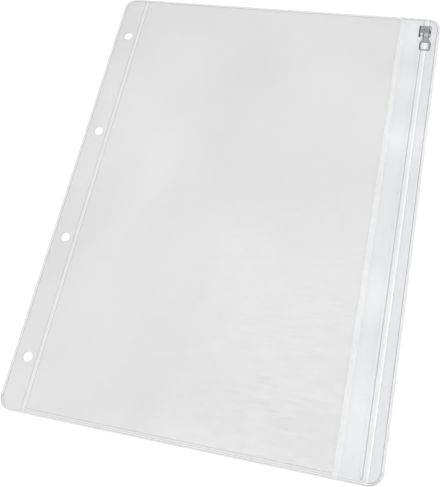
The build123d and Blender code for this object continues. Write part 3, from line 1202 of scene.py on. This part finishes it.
@dataclass
class ZipStrips:
    """The two extruded strips: flat tapes whose rails hook into each other, and the ribbed weld."""

    sheet: Sheet
    tape: float = 0.35
    inner_wall: float = 0.6
    groove: float = 0.55
    leg: float = 0.8
    side_clear: float = 0.2
    end_clear: float = 0.3
    hook: float = 0.6
    hook_height: float = 0.8
    outer_wall: float = 1.25
    lip: float = 0.5
    lip_height: float = 0.7
    lip_edge: float = 0.05
    shoulder_run: float = 1.9
    shoulder_fall: float = 0.65
    shoulder_steps: int = 12
    shoulder_slope: float = 5.0
    shoulder_up: float = 0.2
    foot_slope: float = 27.0
    groove_reach: float = 0.2
    groove_skin: float = 0.05
    edge_skin: float = 0.05
    flat_skin: float = 0.1
    floor: float = 0.6
    roof: float = 0.6
    round: float = 0.25
    round_steps: int = 4
    end_setback: float = 2.5
    end_slope: float = 50.0
    root: float = 0.15
    fuse_gap: float = 0.02
    row_pitch: float = 4.0
    column_pitch: float = 1.5
    draw_line: float = 0.025
    draw_seed: int = 7
    # The bar's ribs are finer in truth, and are drawn as coarse as they need to show.
    rib_pitch: float = 1.25
    rib_width: float = 0.5
    rib_height: float = 0.1
    rib_root: float = 0.04
    rib_round: float = 0.4
    rib_setback: float = 4.0
    rib_margin: Span = (0.15, 0.1)
    rib_shift: float = 0.1
    rib_heights: Span = (0.2, 1.0)
    rib_shorter: float = 0.8
    rib_slack: float = 0.1
    rib_seed: int = 11
    bulge_clear: float = 1.0
    bulge_inset: float = 2.5
    bulge_rise: float = 8.0
    # Each bulge's place along the tape, its run and its height.
    bulges: tuple[Place, ...] = (
        (101.0, 14.0, 0.04), (57.0, 14.0, 0.06), (-47.0, 18.0, 0.06), (-119.0, 26.0, 0.07))

    def __post_init__(self) -> None:
        """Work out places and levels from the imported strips."""
        self.bottom = low_of("zip_inner_strip").z
        self.top = self.bottom + self.tape
        self.rail_top = high_of("zip_inner_strip").z
        self.tape_inner = low_of("zip_inner_strip").x
        self.hook_end = high_of("zip_inner_strip").x
        self.leg_x = low_of("zip_outer_strip").x
        self.groove_x = self.leg_x - self.groove
        self.wall_x = self.groove_x - self.inner_wall
        self.leg_end = self.leg_x + self.leg
        self.hook_x = self.hook_end - self.hook
        self.outer_x = self.hook_end + self.side_clear
        self.outer_end = self.outer_x + self.outer_wall
        self.shoulder_x = self.outer_end + self.lip - self.shoulder_run
        self.floor_top = self.bottom + self.floor
        self.leg_bottom = self.floor_top + self.end_clear
        self.roof_bottom = self.rail_top - self.roof
        self.lip_bottom = self.rail_top - self.lip_height
        self.film_drop = low_of("front_film").z - high_of("back_film").z - self.fuse_gap
        self.tape_drop = self.bottom - high_of("back_film").z - self.fuse_gap

    def drop(self, x: float) -> float:
        """Give how far the rim is pressed at a place: less where the front film lies under the tape."""
        past = ease((x - self.sheet.slit) / self.column_pitch)
        return self.film_drop + (self.tape_drop - self.film_drop) * past

    def surface(self, x: float, y: float) -> float:
        """Give the level of the pocket's upper side at a place."""
        level = self.top if x > self.tape_inner - HAIR else self.bottom
        return level - self.drop(x) * max(self.sheet.rim_dip(x, y), self.sheet.seam_dip(x))

    def bulge(self, x: float, y: float) -> float:
        """Give the inner tape's soft bulges between its weld and its rail.

        Args:
            x: place across the sheet.
            y: place along the sheet.

        Returns:
            The tape's lift.
        """
        across = (x - self.sheet.slit) / (self.wall_x - self.bulge_clear - self.sheet.slit)
        if not 0.0 < across < 1.0:
            return 0.0
        swell = sum(height * math.exp(-((y - place) / run) ** 2) for place, run, height in self.bulges)
        free = ease((self.sheet.inset(x, y) - self.bulge_inset) / self.bulge_rise)
        return swell * math.sin(math.pi * across) * free

    def shoulder(self, x: float, z: float) -> float:
        """Round the outer rail's shoulder, short of its lip's underside.

        Args:
            x: place across the sheet.
            z: level on the rail.

        Returns:
            How far the shoulder falls there.
        """
        share = min(max((x - self.shoulder_x) / self.shoulder_run, 0.0), 1.0)
        fall = self.shoulder_fall * (1 - math.sqrt(1 - share ** 2))
        return min(fall, max(z - self.lip_bottom - self.lip_edge, 0.0))

    @staticmethod
    def stretch(piece: Piece, way: Place, far: float, wanted: Callable[[Vector], bool]) -> None:
        """Extrude the faces of a rail that look one way and pass a test.

        Args:
            piece: the rail in edit mode.
            way: the way that the faces look and go.
            far: how far they go, in millimetres.
            wanted: a test of a face's middle.
        """
        pick(piece, Element.FACE, lambda middle, face: (
            face.normal.dot(Vector(way)) > SQUARE and wanted(middle)))
        bpy.ops.mesh.extrude_region_move(TRANSFORM_OT_translate={"value": Vector(way) * far * MM})

    def trim_rail(self, piece: Piece) -> None:
        """Slope both ends of a rail and round the edges along its top.

        Args:
            piece: the rail in edit mode.
        """
        slope = math.radians(self.end_slope)
        end = self.sheet.half_length - self.end_setback
        for side in (-1, 1):
            cut(piece, (0, side * end, self.top), (0, side * math.sin(slope), math.cos(slope)), Keep.BEFORE)
        pick(piece, Element.EDGE, lambda middle, edge: middle.z > self.rail_top - HAIR and abs(
            edge.verts[0].co.y - edge.verts[1].co.y) > LONG_EDGE * MM)
        bpy.ops.mesh.bevel(offset=self.round * MM, segments=self.round_steps, affect="EDGES")

    def inner_rail(self) -> Piece:
        """Model the inner rail: a lipped wall, a floor and a hook that stands up.

        Returns:
            The inner rail.
        """
        length = self.sheet.half_length
        rail = block("inner_rail", (self.wall_x, -length, self.bottom + self.root),
                     (self.groove_x, length, self.rail_top))
        with shaping(rail):
            cut(rail, (0, 0, self.floor_top), (0, 0, 1))
            cut(rail, (0, 0, self.lip_bottom), (0, 0, 1))
            self.stretch(rail, RIGHT, self.hook_x - self.groove_x, lambda middle: middle.z < self.floor_top)
            self.stretch(rail, RIGHT, self.hook, lambda middle: middle.z < self.floor_top)
            self.stretch(rail, UP, self.hook_height, lambda middle: middle.x > self.hook_x)
            self.stretch(rail, LEFT, self.lip, lambda middle: middle.z > self.lip_bottom)
            cut(rail, (self.leg_x, 0, 0), (1, 0, 0))
            self.trim_rail(rail)
        return rail

    def outer_rail(self) -> Piece:
        """Model the outer rail: a lipped wall and a roof whose leg hangs into the inner rail.

        Returns:
            The outer rail.
        """
        length = self.sheet.half_length
        rail = block("outer_rail", (self.outer_x, -length, self.bottom + self.root),
                     (self.outer_end, length, self.rail_top))
        with shaping(rail):
            cut(rail, (0, 0, self.roof_bottom), (0, 0, 1))
            cut(rail, (0, 0, self.lip_bottom), (0, 0, 1))
            self.stretch(rail, LEFT, self.outer_x - self.leg_end, lambda middle: middle.z > self.roof_bottom)
            self.stretch(rail, LEFT, self.leg, lambda middle: middle.z > self.roof_bottom)
            self.stretch(rail, DOWN, self.roof_bottom - self.leg_bottom,
                         lambda middle: middle.x < self.leg_end)
            self.stretch(rail, RIGHT, self.lip, lambda middle: middle.z > self.lip_bottom)
            self.trim_rail(rail)
            for x in rows(self.shoulder_x, self.shoulder_x + self.shoulder_run,
                          self.shoulder_run / self.shoulder_steps):
                cut(rail, (x, 0, 0), (1, 0, 0))
        lift(rail, lambda x, y, z: -self.shoulder(x, z))
        # The end faces aren't flat any more, so they are split into triangles.
        with shaping(rail):
            pick(rail, Element.FACE, lambda middle, face: len(face.verts) > QUAD)
            bpy.ops.mesh.quads_convert_to_tris()
        return rail

    def flange(self, name: str, start: float, stop: float) -> Piece:
        """Cut a strip's flat tape from the sheet's outline and bend it.

        Args:
            name: the piece's name.
            start: where it starts across the sheet.
            stop: where it ends.

        Returns:
            The tape, dipped at the rim.
        """
        piece = self.sheet.blank(name, self.bottom, self.top)
        with shaping(piece):
            cut(piece, (start, 0, 0), (1, 0, 0), Keep.AFTER)
            if stop < self.sheet.half_width:
                cut(piece, (stop, 0, 0), (1, 0, 0), Keep.BEFORE)
        slit = self.sheet.slit
        columns = rows(start, stop, self.column_pitch / 2) if start > slit else [
            *rows(slit, stop, self.column_pitch), slit]
        self.sheet.grid(piece, columns, self.row_pitch)
        draws = random.Random(self.draw_seed)
        lines = {round(x, 3): draws.uniform(-1, 1) * self.draw_line for x in columns}
        lift(piece, lambda x, y, z: self.bulge(x, y) - self.drop(x) * self.sheet.rim_dip(x, y) + (
            lines.get(round(x, 3), 0.0) if x > self.outer_end + self.lip else 0.0))
        return piece

    def part_at(self, middle: Vector, normal: Vector) -> Part:
        """Choose the part of a strip that a face belongs to.

        Args:
            middle: the face's middle, in millimetres.
            normal: the face's direction.

        Returns:
            The part.
        """
        leaning = abs(normal.x) > math.sin(math.radians(self.shoulder_slope)) and normal.z > self.shoulder_up
        if self.sheet.inset(middle.x, middle.y) < self.edge_skin:
            return Part.EDGE
        if middle.z < self.top + self.flat_skin:
            if middle.x < self.sheet.slit and normal.z > UPWARD:
                return Part.BAND
            return Part.FLANGE if middle.x > self.outer_end else Part.TAPE
        # Groove and steep side: painted shade; rounded shoulder: painted highlight.
        if self.groove_x - self.groove_reach < middle.x < self.leg_x + self.groove_skin:
            return Part.GROOVE
        if normal.x > math.sin(math.radians(self.foot_slope)) and middle.x > self.outer_x:
            return Part.FOOT
        if leaning and not self.wall_x < middle.x < self.outer_x:
            return Part.SHOULDER
        return Part.ROOF if normal.z > UPWARD and middle.z > self.lip_bottom else Part.CORE

    def strip(self, name: str, tape: Piece, rail: Piece, node: str) -> Piece:
        """Fuse a tape and its rail into one strip and dress it.

        Args:
            name: the piece's name.
            tape: the flat tape, which becomes the strip.
            rail: its rail, which is used up.
            node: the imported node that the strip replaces.

        Returns:
            The strip.
        """
        # The two share a plane, and only with the self-crossing option does their union come out closed.
        finish_with(tape, "BOOLEAN", object=rail, operation="UNION", solver="EXACT", use_self=True)
        bpy.data.objects.remove(rail)
        tape.name = tape.data.name = name
        return complete(tape, Slot.TAPE, STRIP, node, choose=self.part_at)

    def build(self) -> None:
        """Build both strips."""
        inner = self.flange("inner_tape", self.tape_inner, self.hook_end)
        self.strip("zip_strip_inner", inner, self.inner_rail(), "zip_inner_strip")
        outer = self.flange("outer_tape", self.outer_x, self.sheet.half_width)
        self.strip("zip_strip_outer", outer, self.outer_rail(), "zip_outer_strip")

    def build_ribs(self) -> Piece:
        """Build the ribs that the welding bar leaves along the tape's inner edge.

        Returns:
            The ribs, as one piece.
        """
        end = self.sheet.half_length - self.rib_setback
        count = int(2 * end / self.rib_pitch)
        inner, outer = self.rib_margin
        rib = block("zip_weld_ribs", (self.tape_inner + inner, -end, self.top - self.rib_root),
                    (self.sheet.slit - outer, -end + self.rib_width, self.top + self.rib_height))
        with shaping(rib):
            pick(rib, Element.EDGE, lambda middle, edge: middle.z > self.top)
            bpy.ops.mesh.bevel(
                offset=self.rib_round * self.rib_height * MM, segments=BEAD_STEPS, affect="EDGES")
        finish_with(rib, "ARRAY", count=count, use_relative_offset=False, use_constant_offset=True,
                    constant_offset_displace=(0, self.rib_pitch * MM, 0))
        draws = random.Random(self.rib_seed)
        uneven = [(draws.uniform(-self.rib_shift, self.rib_shift), draws.uniform(*self.rib_heights),
                   draws.uniform(0, self.rib_shorter)) for _ in range(count)]
        middle_x = (self.tape_inner + self.sheet.slit) / 2
        for vertex in rib.data.vertices:
            x, y, z = vertex.co / MM
            shift, height, short = uneven[min(count - 1, int((y + end + self.rib_slack) / self.rib_pitch))]
            if z > self.top:
                vertex.co.z = (self.top + (z - self.top) * height) * MM
            vertex.co.y += shift * self.rib_pitch * MM
            if x < middle_x:
                vertex.co.x += short * MM
        return complete(rib, Slot.WELD, {Press.PLAIN: RIB})


@dataclass(frozen=True)
class SoftBox:
    """A soft box over the pocket: its place, its size across and along, its lean and its power.

    It leans towards the margin, in degrees.
    """

    name: str
    place: Place
    size: Span
    lean: float
    watts: float

    def hang(self) -> None:
        """Hang the box and switch it on."""
        lamp = bpy.data.lights.new(self.name, "AREA")
        lamp.shape = "RECTANGLE"
        lamp.size, lamp.size_y = (s * MM for s in self.size)
        lamp.energy = self.watts
        light = bpy.data.objects.new(self.name, lamp)
        light.location = Vector(self.place) * MM
        light.rotation_euler = (0.0, math.radians(self.lean), 0.0)
        bpy.context.scene.collection.objects.link(light)


@dataclass
class Studio:
    """White paper under a soft key from the right, with the camera where the photograph was taken."""

    floor_size: float = 4000.0
    floor_drop: float = 0.05
    camera_place: Place = (99.17, -157.75, 385.42)
    camera_aim: Place = (12.353, -19.682, 0.0)
    camera_roll: float = -22.086
    lens: float = 49.012
    sensor: float = 36.0
    shift: Span = (-0.0523, -0.0215)
    sight: Span = (10.0, 20000.0)
    clear_layers: int = 32
    sky: float = 0.755
    boxes: tuple[SoftBox, ...] = (
        SoftBox("strip_right", (545.0, 410.0, 900.0), (110.0, 1300.0), 26.0, 3.4),
        SoftBox("soft_box_right", (1100.0, -600.0, 800.0), (700.0, 700.0), 50.0, 4.6),
        SoftBox("soft_box_left", (-900.0, -600.0, 800.0), (700.0, 700.0), -50.0, 4.7))

    def lay_floor(self) -> None:
        """Lay the paper just under the pocket."""
        bpy.ops.object.select_all(action="DESELECT")
        bpy.ops.mesh.primitive_plane_add(size=self.floor_size * MM, location=(0, 0, -self.floor_drop * MM))
        floor = bpy.context.active_object
        floor.name = "studio_floor"
        bpy.ops.object.transform_apply(location=True, rotation=True, scale=True)
        floor.data.materials.append(PAPER.material())

    def fill_sky(self) -> None:
        """Fill the room with even white light."""
        world = bpy.data.worlds.new("studio_sky")
        world.use_nodes = True
        sky = world.node_tree.nodes["Background"]
        sky.inputs["Color"].default_value = linear("#ffffff")
        sky.inputs["Strength"].default_value = self.sky
        bpy.context.scene.world = world

    def place_camera(self) -> None:
        """Place the camera, turned about its own axis as the photograph is."""
        lens = bpy.data.cameras.new("studio_camera")
        lens.lens = self.lens
        lens.sensor_width = self.sensor
        lens.shift_x, lens.shift_y = self.shift
        lens.clip_start, lens.clip_end = (s * MM for s in self.sight)
        camera = bpy.data.objects.new("studio_camera", lens)
        place, aim = Vector(self.camera_place) * MM, Vector(self.camera_aim) * MM
        turn = (aim - place).to_track_quat("-Z", "Y").to_matrix().to_4x4()
        roll = Matrix.Rotation(math.radians(self.camera_roll), 4, "Z")
        camera.matrix_world = Matrix.Translation(place) @ turn @ roll
        bpy.context.scene.collection.objects.link(camera)
        bpy.context.scene.camera = camera

    def build(self) -> None:
        """Set up floor, lights, sky and camera."""
        self.lay_floor()
        self.fill_sky()
        for box in self.boxes:
            box.hang()
        self.place_camera()
        scene = bpy.context.scene
        scene.view_settings.view_transform = "Standard"
        scene.cycles.transparent_max_bounces = self.clear_layers


def main() -> None:
    """Build and dress the pocket, then the studio."""
    logging.basicConfig(level=logging.INFO, format="%(message)s")
    sheet = Sheet.from_frame()
    films = Films(sheet)
    films.build_back()
    films.build_front()
    zips = ZipStrips(sheet)
    zips.build()
    zips.build_ribs()
    welds = Welds(sheet, zips.tape_inner, zips.column_pitch)
    welds.build_rim(zips.surface)
    welds.build_seam(zips.surface)
    welds.build_foot(zips.surface)
    for name, finish in PLATED.items():
        plate(frame["nodes"][name], finish)
    Studio().build()


if __name__ == "__main__":
    main()
